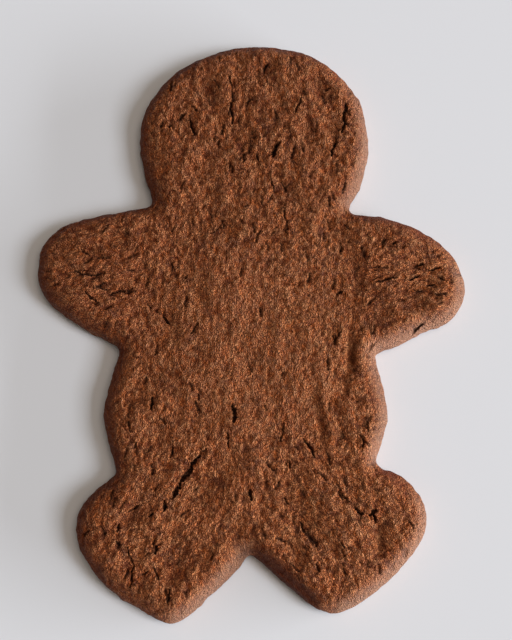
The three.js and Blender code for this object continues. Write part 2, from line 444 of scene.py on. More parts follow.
@dataclass
class SurfaceGrid:
    """A grid of square cells over the cookie, for patterns worked out by place.

    Attributes:
        low: The grid's lowest corner.
        high: Its highest corner.
        cell: The side of a cell.
        speck_blur: How far a speck is blurred, as a share of its width.
        stride: How many cells apart a pattern is read while it is drawn out.
    """

    low: np.ndarray
    high: np.ndarray
    cell: float = 0.16
    speck_blur: float = 0.36
    stride: float = 1.4

    def __post_init__(self) -> None:
        """Works out the grid's size and the place of each cell."""
        columns, rows = np.ceil((self.high - self.low) / self.cell).astype(int) + 1
        self.shape = (int(rows), int(columns))
        ys, xs = np.mgrid[0 : self.shape[0], 0 : self.shape[1]]
        self.places = np.stack([xs, ys], -1) * self.cell + self.low

    def sample(self, values: np.ndarray, points: np.ndarray) -> np.ndarray:
        """Reads a pattern at places between the cells.

        Args:
            values: The pattern, one value for each cell.
            points: The places to read.

        Returns:
            The pattern's value at each place.
        """
        last = np.array(self.shape[::-1]) - JUST_OVER_ONE
        column, row = np.moveaxis(np.clip((points - self.low) / self.cell, 0, last), -1, 0)
        c, r = column.astype(int), row.astype(int)
        u, v = column - c, row - r
        lower = values[r, c] * (1 - u) + values[r, c + 1] * u
        upper = values[r + 1, c] * (1 - u) + values[r + 1, c + 1] * u
        return lower * (1 - v) + upper * v

    def speckle(self, rng: np.random.Generator, size: float) -> np.ndarray:
        """Makes soft random specks.

        Args:
            rng: The source of the random draws.
            size: About how wide a speck is.

        Returns:
            A pattern with mean 0 and spread 1.
        """
        rows, columns = self.shape
        noise = np.fft.rfft2(rng.standard_normal(self.shape))
        fy = np.fft.fftfreq(rows)[:, None] / self.cell
        fx = np.fft.rfftfreq(columns)[None, :] / self.cell
        blur = np.exp(-2 * (math.pi * self.speck_blur * size) ** 2 * (fx**2 + fy**2))
        soft = np.fft.irfft2(noise * blur, s=self.shape)
        return (soft - soft.mean()) / soft.std()

    def combed(self, pattern: np.ndarray, angles: np.ndarray, reach: float) -> np.ndarray:
        """Draws a pattern out along the grain.

        Args:
            pattern: The pattern to draw out.
            angles: The way that the grain runs in each cell, in radians.
            reach: How far a speck is drawn out, each way.

        Returns:
            The drawn pattern with mean 0 and spread 1.
        """
        step = self.stride * self.cell
        last = np.array(self.shape[::-1]) - 1
        total = pattern.copy()
        for side in (1.0, -1.0):
            spot = self.places.copy()
            way = np.stack([np.cos(angles), np.sin(angles)], -1) * side
            for _ in range(max(1, round(reach / step))):
                spot += way * step
                cell = np.rint((spot - self.low) / self.cell).astype(int)
                column, row = np.moveaxis(np.clip(cell, 0, last), -1, 0)
                angle = angles[row, column]
                ahead = np.stack([np.cos(angle), np.sin(angle)], -1)
                way = ahead * np.where(np.sum(ahead * way, -1) < 0, -1.0, 1.0)[..., None]
                total += self.sample(pattern, spot)
        return (total - total.mean()) / total.std()


@dataclass(frozen=True)
class ReliefLayer:
    """One size of wrinkle.

    Attributes:
        width: How wide a wrinkle is.
        reach: How far it is drawn out along the grain, each way.
        height: How high it stands.
        creased: True where round tops meet in sharp creases, and False where the
            surface just rolls.
    """

    width: float
    reach: float
    height: float
    creased: bool


@dataclass
class DoughRelief:
    """The wrinkles and lumps of the baked top.

    Attributes:
        seed: Starts the random draws.
        layers: The sizes of wrinkle, from fine to coarse.
        crease: How wide a crease is, as a share of the wrinkle's own spread.
        plateau: How soon a wrinkle reaches its flat top, as such a share.
        strength: How strong the wrinkles are away from the belly.
        calm: How much weaker they are in its middle.
        flat_above: The share of the top that is lower than the height where the
            highest wrinkles are cut off flat.
        stand_out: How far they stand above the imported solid.
        belly: The middle of the belly.
        belly_reach: How far the calmer part goes.
    """

    seed: int = 7
    layers: tuple = (
        ReliefLayer(0.5, 0.25, 0.06, False),
        ReliefLayer(0.54, 0.37, 0.25, True),
        ReliefLayer(1.4, 0.9, 0.26, True),
        ReliefLayer(3.0, 2.0, 0.13, False),
        ReliefLayer(7.0, 4.0, 0.14, False),
    )
    crease: float = 0.22
    plateau: float = 0.5
    strength: float = 1.15
    calm: float = 0.4
    flat_above: float = 0.98
    stand_out: float = 0.16
    belly: tuple[float, float] = (2.0, -6.0)
    belly_reach: float = 24.0

    def zone_weights(self, points: np.ndarray) -> dict[Grain, np.ndarray]:
        """How much each grain has a say at each place. They add up to 1.

        Args:
            points: Places on the top.

        Returns:
            The weight of each grain at each place.
        """
        weights = {grain: np.zeros(points.shape[:-1]) for grain in Grain}
        for zone in LIMB_ZONES:
            away = np.linalg.norm(points - (zone.x, zone.y), axis=-1) / zone.reach
            weights[zone.grain] = np.maximum(weights[zone.grain], np.exp(-(away**4)))
        others = sum(weights[grain] for grain in Grain if grain is not Grain.UPRIGHT)
        weights[Grain.UPRIGHT] = np.clip(1 - others, 0, 1)
        total = sum(weights.values())
        return {grain: weight / total for grain, weight in weights.items()}

    def angles(self, points: np.ndarray) -> np.ndarray:
        """The way that the grain runs at each place, in radians.

        Args:
            points: Places on the top.

        Returns:
            The angle from +X at each place.
        """
        weights = self.zone_weights(points)
        doubled = {grain: 2 * math.radians(grain.value) for grain in Grain}
        cosine = sum(weights[grain] * math.cos(doubled[grain]) for grain in Grain)
        sine = sum(weights[grain] * math.sin(doubled[grain]) for grain in Grain)
        return 0.5 * np.arctan2(sine, cosine)

    def patterns(self, grid: SurfaceGrid) -> tuple[np.ndarray, np.ndarray, np.ndarray]:
        """Works out the relief over the grid.

        Args:
            grid: The grid to fill.

        Returns:
            The height in millimetres, how near each cell is to a crease from 0 to 1,
            and the crumbs' pattern with spread 1.
        """
        rng = np.random.default_rng(self.seed)
        angles = self.angles(grid.places)
        away = np.linalg.norm(grid.places - self.belly, axis=-1) / self.belly_reach
        strength = self.strength - self.calm * np.exp(-(away**4))
        height = np.zeros(grid.shape)
        crease = np.zeros(grid.shape)
        crumbs = np.zeros(grid.shape)
        for layer in self.layers:
            pattern = grid.combed(grid.speckle(rng, layer.width), angles, layer.reach)
            if layer.creased:
                height += layer.height * (1 - np.exp(-np.abs(pattern) / self.plateau))
                crease = np.maximum(crease, np.exp(-((pattern / self.crease) ** 2)))
            else:
                height += layer.height * pattern
                crumbs = pattern if layer is self.layers[0] else crumbs
        height *= strength
        height -= np.quantile(height, self.flat_above)
        return np.minimum(height, 0) + self.stand_out, crease * np.minimum(strength, 1), crumbs


# ---- The cookie ----------------------------------------------------------

LOOP_SPACING = 0.08  # how far apart a loop's points are when distances to it are measured
DEEP_INSIDE = 9.0  # counts as the underside's distance from the outline
ON_BOARD = 0.01  # what is lower than this lies on the board
INSIDE_ONLY = 1  # tells the triangulation to keep what is inside the border
SAME_PLACE = 1e-6  # points closer together than this are one
EMPTY_AREA = 1e-9  # a triangle with twice this area, or less, is left out


@dataclass
class Shoulder:
    """The cookie's section from the underside to the top.

    Attributes:
        foot: How far the underside is set in from the widest outline.
        foot_inset: Where the rounded foot turns into the side, inwards.
        foot_rise: And upwards.
        foot_bulge: How far the foot bulges between the two, outwards and downwards.
        wall_steps: How many rings the side has above the foot.
        widest_at: The height at which the cookie is widest.
        reach: How far in from the side the top begins.
        edge_height: The height at which the top begins.
        rim: How far in the rings of the side go. The lattice of the top starts there.
        rim_steps: How many rings there are from the widest one to the rim.
    """

    foot: float = 0.8
    foot_inset: float = 0.25
    foot_rise: float = 0.5
    foot_bulge: tuple[float, float] = (0.06, 0.09)
    wall_steps: int = 4
    widest_at: float = 2.4
    reach: float = 4.0
    edge_height: float = 7.3
    rim: float = 1.6
    rim_steps: int = 11

    def height_at(self, inset: np.ndarray) -> np.ndarray:
        """The height of the top at a distance in from the widest outline."""
        share = 1 - np.clip(inset / self.reach, 0, 1)
        return self.widest_at + (self.edge_height - self.widest_at) * np.sqrt(1 - share**2)

    def rings(self) -> list[tuple[float, float]]:
        """The rings of the side as insets and heights, from the underside up.

        Returns:
            The inset and the height of each ring.
        """
        out, down = self.foot_bulge
        foot_turn = [
            (self.foot, 0.0),
            (0.5 * (self.foot + self.foot_inset) - out, 0.5 * self.foot_rise - down),
            (self.foot_inset, self.foot_rise),
        ]
        wall = [
            (self.foot_inset * (1 - t) ** 2, self.foot_rise + (self.widest_at - self.foot_rise) * t)
            for t in (k / self.wall_steps for k in range(1, self.wall_steps + 1))
        ]
        turn = math.acos(1 - self.rim / self.reach) / self.rim_steps
        insets = [self.reach * (1 - math.cos(turn * k)) for k in range(1, self.rim_steps + 1)]
        return foot_turn + wall + [(inset, float(self.height_at(np.array(inset)))) for inset in insets]


@dataclass
class Outline:
    """The cookie's widest outline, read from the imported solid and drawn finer.

    Attributes:
        node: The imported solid's name.
        level: The height at which the solid is widest.
        weld: How close together two of the solid's points are one.
        fine_spacing: How far apart the points are while the corners are rounded.
        spacing: How far apart the finished outline's points are.
        rounding: How far the finer outline rounds the solid's corners.
        seed: Starts the random draws.
        uneven: How far the cut edge wanders in and out.
        waves: How wide each of its waves is, in points, and its share.
        step: How far the outline moves inwards at a time.
        step_blur: How far each of those steps blurs it, in points.
    """

    node: str = "cookie"
    level: float = 2.4
    weld: float = 0.02
    fine_spacing: float = 0.1
    spacing: float = 0.45
    rounding: float = 0.5
    seed: int = 3
    uneven: float = 0.07
    waves: tuple = ((3.0, 0.6), (9.0, 0.8))
    step: float = 0.1
    step_blur: float = 0.6

    def packed_points(self) -> np.ndarray:
        """The solid's points at its widest level, in order, anticlockwise.

        Returns:
            The points, seen from above.
        """
        solid = bmesh.new()
        solid.from_mesh(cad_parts[self.node].data)
        bmesh.ops.remove_doubles(solid, verts=solid.verts, dist=self.weld * MM)
        solid.verts.index_update()
        places = np.array([vert.co for vert in solid.verts]) / MM
        level = np.abs(places[:, 2] - self.level) < self.weld
        beside: dict[int, list[int]] = {}
        for edge in solid.edges:
            a, b = (vert.index for vert in edge.verts)
            if level[a] and level[b]:
                beside.setdefault(a, []).append(b)
                beside.setdefault(b, []).append(a)
        solid.free()
        first = min(beside, key=lambda spot: places[spot, 0])
        walk = [first, beside[first][0]]
        while walk[-1] != first:
            walk.append(next(spot for spot in beside[walk[-1]] if spot != walk[-2]))
        ring = places[walk[:-1], :2]
        ahead = np.roll(ring, -1, axis=0)
        area = np.sum(ring[:, 0] * ahead[:, 1] - ring[:, 1] * ahead[:, 0])
        return ring if area > 0 else np.roll(ring[::-1], 1, axis=0)

    @staticmethod
    def resampled(loop: np.ndarray, spacing: float) -> np.ndarray:
        """Spaces a closed loop's points evenly.

        Args:
            loop: The loop's points.
            spacing: About how far apart the new points are.

        Returns:
            The new points.
        """
        closed = np.vstack([loop, loop[:1]])
        run = np.concatenate([[0], np.cumsum(np.linalg.norm(np.diff(closed, axis=0), axis=1))])
        count = round(run[-1] / spacing)
        at = np.linspace(0, run[-1], count, endpoint=False)
        return np.stack([np.interp(at, run, closed[:, k]) for k in (0, 1)], -1)

    @staticmethod
    def softened(values: np.ndarray, width: float) -> np.ndarray:
        """Blurs values that run round a loop.

        Args:
            values: One row for each point of the loop.
            width: The blur's spread, in points.

        Returns:
            The blurred values.
        """
        frequency = np.fft.rfftfreq(len(values))
        blur = np.exp(-2 * (math.pi * width * frequency) ** 2)
        spectrum = np.fft.rfft(values, axis=0) * (blur[:, None] if values.ndim > 1 else blur)
        return np.fft.irfft(spectrum, n=len(values), axis=0)

    def build(self) -> np.ndarray:
        """Draws the finer outline.

        Returns:
            The outline's points, seen from above.
        """
        fine = self.resampled(self.packed_points(), self.fine_spacing)
        fine = self.resampled(self.softened(fine, self.rounding / self.fine_spacing), self.spacing)
        rng = np.random.default_rng(self.seed)
        wander = np.zeros(len(fine))
        for width, part in self.waves:
            wave = self.softened(rng.standard_normal(len(fine)), width)
            wander += part * wave / wave.std()
        return fine + self.inwards(fine) * (self.uneven * wander)[:, None]

    @staticmethod
    def inwards(loop: np.ndarray) -> np.ndarray:
        """The unit vectors that point inwards, square to an anticlockwise loop.

        Args:
            loop: The loop's points.

        Returns:
            The vector at each point.
        """
        along = np.roll(loop, -2, axis=0) - np.roll(loop, 2, axis=0)
        square = np.stack([-along[:, 1], along[:, 0]], -1)
        return square / np.linalg.norm(square, axis=1, keepdims=True)

    def set_in(self, loop: np.ndarray, insets: list[float]) -> list[np.ndarray]:
        """Draws rings inside the outline by small steps, so that none crosses itself.

        Args:
            loop: The outline.
            insets: How far inside it each ring lies.

        Returns:
            The rings.
        """
        march = [loop]
        while self.step * (len(march) - 2) < max(insets):
            ring = march[-1]
            march.append(self.softened(ring + self.inwards(ring) * self.step, self.step_blur))
        rings = []
        for inset in insets:
            whole = int(inset / self.step)
            part = inset / self.step - whole
            rings.append(march[whole] * (1 - part) + march[whole + 1] * part)
        return rings


@dataclass
class SideCrumb:
    """The crumb of the side, which stands in and out.

    Attributes:
        seed: Starts the random draws.
        height: How far the fine crumb stands out.
        fine: How wide the fine crumb is, in points of a ring.
        coarse: How wide the coarse crumb is.
        coarse_share: How far the coarse crumb stands out, as a share of the fine one.
        shared: How much each ring takes over from the ones below and above it.
        fade: The insets between which the crumb fades out.
        foot_share: How much of it is left at the underside.
    """

    seed: int = 17
    height: float = 0.11
    fine: float = 1.1
    coarse: float = 4.0
    coarse_share: float = 0.7
    shared: float = 0.25
    fade: tuple[float, float] = (0.6, 1.5)
    foot_share: float = 0.4

    def draw(self, insets: np.ndarray, count: int) -> np.ndarray:
        """Works out how far the side stands out.

        Args:
            insets: How far inside the outline each ring of the side is.
            count: How many points each ring has.

        Returns:
            How far each point of each ring stands out.
        """
        rng = np.random.default_rng(self.seed)
        rows = np.empty((len(insets), count))
        for row in rows:
            row[:] = Outline.softened(rng.standard_normal(count), self.fine)
            row /= row.std()
        beside = np.roll(rows, 1, axis=0) + np.roll(rows, -1, axis=0)
        rows = (1 - 2 * self.shared) * rows + self.shared * beside
        coarse = Outline.softened(rng.standard_normal(count), self.coarse)
        rows += self.coarse_share * coarse / coarse.std()
        fade = 1 - smoothstep(*self.fade, insets)
        fade[0] *= self.foot_share
        return (self.height * rows * fade[:, None]).ravel()


@dataclass(frozen=True)
class Chart:
    """A place on the square map that holds a flat drawing of part of the surface.

    Attributes:
        left: The chart's lower left corner.
        bottom: The chart's lower left corner.
        width: Its width, as a share of the map.
    """

    left: float
    bottom: float
    width: float

    def place(self, flat: np.ndarray, across: float) -> np.ndarray:
        """Puts flat millimetres, which run to a given width, on the map."""
        return np.array([self.left, self.bottom]) + flat * (self.width / across)


@dataclass(frozen=True)
class Strips:
    """The strips on the map that hold the side, as shares of the map.

    Attributes:
        count: How many strips there are.
        left: Where the first one begins.
        bottom: Where each one begins.
        apart: How far apart they are.
        width: How wide each one is.
        length: How long each one is.
    """

    count: int = 4
    left: float = 0.735
    bottom: float = 0.02
    apart: float = 0.065
    width: float = 0.05
    length: float = 0.57

    def place(self, corners: np.ndarray, per_ring: int, levels: int) -> np.ndarray:
        """Puts the corners of the side's triangles on the map.

        Args:
            corners: The ring and the place in the ring of each corner.
            per_ring: How many points each ring has.
            levels: The last ring that the strips hold.

        Returns:
            Each corner's place on the map.
        """
        level, place = corners[..., 0], corners[..., 1]
        per_strip = math.ceil(per_ring / self.count)
        strip = place.min(axis=1, keepdims=True) // per_strip
        along = (place - strip * per_strip) / per_strip * self.length + self.bottom
        across = self.left + strip * self.apart + level / levels * self.width
        return np.stack([across, along], -1)


TOP_CHART = Chart(0.01, 0.01, 0.70)
UNDER_CHART = Chart(0.73, 0.62, 0.26)
SIDE_STRIPS = Strips()
STRIPS_END = 0.8  # how far in the strips of the side go


@dataclass
class Skin:
    """The points of a smooth cookie: the rings of its side, its top, its underside.

    Attributes:
        rings: The insets and heights of the rings, from the underside up.
        count: How many points each ring has.
        inner: How many points the top has inside the last ring.
        spots: Each point's place, seen from above.
        inset: How far inside the widest outline each point is.
        height: Each point's height.
        on_top: Whether each point is above the widest level.
        outward: The way out of the cookie at each point, which is 0 underneath.
    """

    rings: list[tuple[float, float]]
    count: int
    inner: int
    spots: np.ndarray
    inset: np.ndarray
    height: np.ndarray
    on_top: np.ndarray
    outward: np.ndarray


@dataclass
class BakedCookie:
    """The whole cookie as one closed mesh with its baked surface.

    Attributes:
        shoulder: The section of its side.
        outline: Its outline.
        relief: The wrinkles of its top.
        splits: Its splits and hollows.
        side: The crumb of its side.
        mounds: Middle, reach and rise of each place where the dough rose higher.
        swells: Length, heading and shift of the low swells left by rolling.
        swell_height: How high the swells are.
        margin: How far beyond the outline the patterns are worked out.
        top_seed: Starts the random draws for the points of the top.
        top_spacing: How far apart the points of the top are.
        split_spacing: How far apart they are along the named splits.
        split_cell: One such point is kept in a cell of this share of that spacing.
        split_room: A point of the top stays this share of it away from those.
        under_seed: Starts the random draws for the points of the underside.
        under_spacing: How far apart the points of the underside are.
        shake: How far a point is out of place, as a share of the spacing.
        rim_room: How far the points stay inside a ring, as a share of the spacing.
        full_at: How far in the wrinkles and splits reach their full depth.
        crumb_highlight_spread: How much the crumbs' lightness varies; raised crumbs are lighter, partly as a
            painted highlight.
        crease_shade_rim: The insets between which the painted shade in the creases sets in.
        split_shade_rate: How much darker a split is painted, as shade, for each millimetre of its depth.
        painted_shade_strength: How dark the strip of painted shade is, where a hollow's middle is 1.
        shade_side: The way that the side away from the lights faces, in degrees from +X.
        shade_reach: How far either side of the middle that makes a difference.
        shade_darkening: How much darker the top is painted on that side, as shade.
        shade_rim: The insets between which the browned and painted-shade shoulder fades out.
        shade_faces: How far the shoulder faces that side where its painted shade sets in and
            where it is full, from -1 to 1.
        painted_highlight_rim: The insets between which the shoulder's painted highlight fades out.
        painted_highlight_faces: How far the shoulder faces the lights where its painted highlight
            starts and where it is strongest.
        under_fade: How far up the underside's colour fades out.
    """

    shoulder: Shoulder = field(default_factory=Shoulder)
    outline: Outline = field(default_factory=Outline)
    relief: DoughRelief = field(default_factory=DoughRelief)
    splits: OvenSplits = field(default_factory=OvenSplits)
    side: SideCrumb = field(default_factory=SideCrumb)
    mounds: tuple = (((0.0, -13.0), 30.0, 0.6), ((1.0, 40.0), 22.0, 0.4))
    swells: tuple = ((47.0, 20.0, 0.4), (31.0, 100.0, 2.1), (23.0, 155.0, 4.0))
    swell_height: float = 0.22
    margin: float = 1.0
    top_seed: int = 11
    top_spacing: float = 0.35
    split_spacing: float = 0.19
    split_cell: float = 0.62
    split_room: float = 0.7
    under_seed: int = 12
    under_spacing: float = 1.0
    shake: float = 0.12
    rim_room: float = 0.6
    full_at: float = 1.1
    crumb_highlight_spread: float = 0.22
    crease_shade_rim: tuple[float, float] = (-0.2, 0.5)
    split_shade_rate: float = 1.3
    painted_shade_strength: float = 1.6
    shade_side: float = 145.0
    shade_reach: float = 45.0
    shade_darkening: float = 0.32
    shade_rim: tuple[float, float] = (0.5, 3.8)
    shade_faces: tuple[float, float] = (-0.6, 0.35)
    painted_highlight_rim: tuple[float, float] = (0.3, 3.6)
    painted_highlight_faces: tuple[float, float] = (0.1, 0.9)
    under_fade: float = 1.1

    def lift_at(self, points: np.ndarray) -> np.ndarray:
        """How far the mounds and swells lift the top at each place.

        Args:
            points: Places on the top.

        Returns:
            The lift at each place.
        """
        lift = np.zeros(len(points))
        for middle, reach, rise in self.mounds:
            away = np.linalg.norm(points - middle, axis=1) / reach
            lift += rise * np.exp(-(away**2))
        for length, heading, shift in self.swells:
            phase = 2 * math.pi * (points @ direction(heading)) / length + shift
            lift += self.swell_height / len(self.swells) * np.cos(phase)
        return lift

    def lattice(self, grid: SurfaceGrid, spacing: float, seed: int) -> np.ndarray:
        """Spreads points evenly, each a little out of place, as crumbs are.

        Args:
            grid: The grid whose area is to be covered.
            spacing: How far apart the points are.
            seed: Starts the random draws.

        Returns:
            The points.
        """
        row_gap = spacing * math.sqrt(0.75)
        rows = [
            np.stack([xs, np.full_like(xs, y)], -1)
            for k, y in enumerate(np.arange(grid.low[1], grid.high[1], row_gap))
            for xs in [np.arange(grid.low[0], grid.high[0], spacing) + (k % 2) * spacing / 2]
        ]
        points = np.concatenate(rows)
        shake = np.random.default_rng(seed).uniform(-self.shake, self.shake, points.shape)
        return points + shake * spacing

    @staticmethod
    def tree_of(points: np.ndarray) -> kdtree.KDTree:
        """Makes a tree that finds the nearest of the given points.

        Args:
            points: The points, seen from above.

        Returns:
            The tree.
        """
        tree = kdtree.KDTree(len(points))
        for i, (x, y) in enumerate(points.tolist()):
            tree.insert((x, y, 0.0), i)
        tree.balance()
        return tree

    def thinned(self, points: np.ndarray, extra: np.ndarray) -> np.ndarray:
        """Adds extra points, and drops those that lie too close to another.

        Args:
            points: The lattice.
            extra: The points to add.

        Returns:
            All the points kept.
        """
        merged = np.concatenate([extra, points])
        cells = np.floor(merged / (self.split_cell * self.split_spacing)).astype(int)
        _, first = np.unique(cells, axis=0, return_index=True)
        extra = merged[first[first < len(extra)]]
        tree = self.tree_of(extra)
        gaps = np.array([tree.find((x, y, 0.0))[2] for x, y in points.tolist()])
        return np.concatenate([extra, points[gaps > self.split_room * self.split_spacing]])

    @classmethod
    def depth_inside(cls, points: np.ndarray, loop: np.ndarray) -> tuple[np.ndarray, np.ndarray]:
        """Measures how far inside a loop each point is.

        Args:
            points: The points.
            loop: The loop.

        Returns:
            The depth, which is negative outside, and the way inwards from the
            nearest place on the loop.
        """
        dense = Outline.resampled(loop, LOOP_SPACING)
        inward = Outline.inwards(dense)
        tree = cls.tree_of(dense)
        found = [tree.find((x, y, 0.0)) for x, y in points.tolist()]
        nearest = np.array([index for _, index, _ in found])
        distance = np.array([gap for _, _, gap in found])
        inside = np.sum((points - dense[nearest]) * inward[nearest], axis=1) > 0
        return np.where(inside, distance, -distance), inward[nearest]

    def within(self, ring: np.ndarray, points: np.ndarray, spacing: float) -> np.ndarray:
        """The points that lie inside a ring, with some room between."""
        return points[self.depth_inside(points, ring)[0] > self.rim_room * spacing]

    @staticmethod
    def filled(spots: np.ndarray, ring: np.ndarray, inner: np.ndarray) -> np.ndarray:
        """Joins a ring and the points inside it into triangles.

        Args:
            spots: Every point's place, seen from above.
            ring: The numbers of the ring's points, anticlockwise.
            inner: The numbers of the points inside the ring.

        Returns:
            The triangles as numbers of points, facing up.
        """
        numbers = np.concatenate([ring, inner])
        points = spots[numbers]
        places = [Vector(point) for point in points.tolist()]
        border = [list(range(len(ring)))]
        _, _, faces, sources, _, _ = delaunay_2d_cdt(places, [], border, INSIDE_ONLY, SAME_PLACE)
        triangles = np.array([source[0] for source in sources])[np.array(faces)]
        a, b, c = (points[triangles[:, k]] for k in range(3))
        turn = (b[:, 0] - a[:, 0]) * (c[:, 1] - a[:, 1]) - (b[:, 1] - a[:, 1]) * (c[:, 0] - a[:, 0])
        triangles[turn < 0] = triangles[turn < 0][:, ::-1]
        return numbers[triangles[np.abs(turn) > EMPTY_AREA]]

    @staticmethod
    def side_faces(levels: int, count: int) -> tuple[np.ndarray, np.ndarray]:
        """Joins the rings of the side into triangles.

        Args:
            levels: How many rings there are.
            count: How many points each ring has.

        Returns:
            The triangles, facing out, and each corner's ring and place in the ring.
        """
        level, place = np.meshgrid(np.arange(levels - 1), np.arange(count), indexing="ij")
        level, place = level.ravel(), place.ravel()
        a, b = (level, place), (level, place + 1)
        c, d = (level + 1, place + 1), (level + 1, place)
        halves = [np.stack([np.stack(corner, -1) for corner in half], 1) for half in ((a, b, c), (a, c, d))]
        corners = np.concatenate(halves)
        faces = corners[..., 0] * count + corners[..., 1] % count
        return faces, corners

    def skin(self, loop: np.ndarray, grid: SurfaceGrid) -> Skin:
        """Spreads the points of the smooth cookie.

        Args:
            loop: The widest outline.
            grid: The grid that covers it.

        Returns:
            The points: those of the rings, the top and the underside.
        """
        rings = self.shoulder.rings()
        drawn = self.outline.set_in(loop, [inset for inset, _ in rings])
        seeds = self.lattice(grid, self.top_spacing, self.top_seed)
        seeds = self.thinned(seeds, self.splits.closer_points(self.split_spacing))
        inner = self.within(drawn[-1], seeds, self.top_spacing)
        inner_inset, inner_way = self.depth_inside(inner, loop)
        seeds = self.lattice(grid, self.under_spacing, self.under_seed)
        under = self.within(drawn[0], seeds, self.under_spacing)

        insets, heights = np.repeat(rings, len(loop), axis=0).T
        none, every = np.zeros(len(under)), np.ones(len(inner), bool)
        ring_way = np.tile(-self.outline.inwards(loop), (len(rings), 1))
        return Skin(
            rings=rings,
            count=len(loop),
            inner=len(inner),
            spots=np.concatenate([*drawn, inner, under]),
            inset=np.concatenate([insets, inner_inset, none + DEEP_INSIDE]),
            height=np.concatenate([heights, self.shoulder.height_at(inner_inset), none]),
            on_top=np.concatenate([heights >= self.shoulder.widest_at, every, none > 0]),
            outward=np.concatenate([ring_way, -inner_way, np.zeros_like(under)]),
        )

    def joined(self, skin: Skin) -> tuple[np.ndarray, np.ndarray]:
        """Joins all the points into triangles.

        Args:
            skin: The points.

        Returns:
            The triangles, those of the side first, and for each corner of those of
            the side its ring and its place in the ring.
        """
        levels = len(skin.rings)
        top_start = levels * skin.count
        foot = np.arange(skin.count)
        rim = foot + top_start - skin.count
        inner = np.arange(skin.inner) + top_start
        under = np.arange(top_start + skin.inner, len(skin.spots))
        side, corners = self.side_faces(levels, skin.count)
        top = self.filled(skin.spots, rim, inner)
        underside = self.filled(skin.spots, foot, under)[:, ::-1]
        return np.concatenate([side, top, underside]), corners

    def tone_and_painted_light(self, skin: Skin, points: np.ndarray) -> dict[str, np.ndarray]:
        """Works out the grain's ways, where the crust is browned and painted with shade, and where it has a
        painted highlight.

        Args:
            skin: The smooth cookie's points.
            points: The finished points.

        Returns:
            The finish's values by name.
        """
        spots = points[:, :2]
        faced = skin.outward @ direction(self.shade_side)
        rim = 1 - smoothstep(*self.shade_rim, skin.inset)
        pale = 1 - smoothstep(*self.painted_highlight_rim, skin.inset)
        shade_side_share = smoothstep(-self.shade_reach, self.shade_reach, spots @ direction(self.shade_side))
        weights = self.relief.zone_weights(spots)
        values = {f"grain_{grain.name.lower()}": weights[grain] for grain in Grain}
        # Partly a browned shoulder, partly painted shade: the shoulder and the top are darker on the side
        # away from the lights.
        values["toast_and_shade"] = np.maximum(rim * smoothstep(*self.shade_faces, faced), self.shade_darkening * shade_side_share)
        # A painted highlight: the shoulder that faces the lights is paler.
        values["painted_highlight_rim"] = pale * smoothstep(*self.painted_highlight_faces, -faced)
        values["underside"] = 1 - smoothstep(0.0, self.under_fade, points[:, 2])
        return values

    def surface(self) -> dict:
        """Works out every point of the cookie and what the finish needs there.

        Returns:
            The points in millimetres, the triangles, each triangle corner's place
            on the map, and the finish's values by name.
        """
        loop = self.outline.build()
        grid = SurfaceGrid(loop.min(0) - self.margin, loop.max(0) + self.margin)
        skin = self.skin(loop, grid)
        faces, corners = self.joined(skin)
        spots, inset, on_top = skin.spots, skin.inset, skin.on_top

        relief, crease, crumbs = self.relief.patterns(grid)
        headings = np.degrees(self.relief.angles(spots))
        small = self.splits.scattered(spots[on_top], inset[on_top], headings[on_top])
        split_depth, _ = self.splits.carve(spots, [*SPLITS, *small], True)
        hollow_depth, hollow = self.splits.carve(spots, list(HOLLOWS), False)
        # A strip of painted shade along the inner edge of the right leg.
        _, painted_shade_place = self.splits.carve(spots, list(PAINTED_SHADES), False)

        full = smoothstep(0.0, self.full_at, inset) * on_top
        lift = self.lift_at(spots) * np.clip(inset / self.shoulder.reach, 0, 1) ** 2 * on_top
        height = skin.height + full * (grid.sample(relief, spots) - split_depth - hollow_depth) + lift
        height[: skin.count] = 0.0
        points = np.column_stack([spots, height])
        on_side = slice(0, skin.count * len(skin.rings))
        crumb = self.side.draw(np.array(skin.rings)[:, 0], skin.count)
        points[on_side, :2] += skin.outward[on_side] * crumb[:, None]

        spots = points[:, :2]
        values = self.tone_and_painted_light(skin, points)
        # Raised crumbs are lighter: partly their own tone, partly a painted highlight.
        values["crumb"] = np.clip(0.5 + self.crumb_highlight_spread * grid.sample(crumbs, spots), 0, 1)
        # Painted shade in the wrinkles' creases.
        values["crease"] = grid.sample(crease, spots) * smoothstep(*self.crease_shade_rim, inset) * on_top
        # Painted shade in the splits, darker the deeper they go.
        values["gap"] = np.clip(self.split_shade_rate * split_depth * full, 0, 1)
        # Painted shade in the hollows, and the strip of painted shade on the right leg's inner edge.
        values["hollow"] = np.clip(hollow * full + self.painted_shade_strength * painted_shade_place, 0, self.painted_shade_strength)
        corner_map = self.corner_map(points, faces, corners, skin)
        return {"points": points, "faces": faces, "map": corner_map, "values": values}

    @staticmethod
    def corner_map(points: np.ndarray, faces: np.ndarray, corners: np.ndarray, skin: Skin) -> np.ndarray:
        """Lays the surface out flat for baking: top, underside, and the side in strips.

        Args:
            points: The cookie's points.
            faces: The triangles, those of the side first.
            corners: The ring and place of each corner of the side's triangles.
            skin: The smooth cookie's points.

        Returns:
            The place on the map of each corner of each triangle.
        """
        low = points[:, :2].min(0)
        width = points[:, 0].max() - low[0]
        flat = points[faces][..., :2] - low
        placed = TOP_CHART.place(flat, width)
        above = range(len(skin.rings) // 2, len(skin.rings))
        last = next(k for k in above if skin.rings[k][0] > STRIPS_END)
        in_strips = np.all(corners[..., 0] <= last, axis=1)
        placed[: len(corners)][in_strips] = SIDE_STRIPS.place(corners, skin.count, last)[in_strips]
        facing_down = np.all(points[faces][..., 2] < ON_BOARD, axis=1)
        facing_down[: len(corners)] = False
        placed[facing_down] = UNDER_CHART.place(flat[facing_down], width)
        return placed

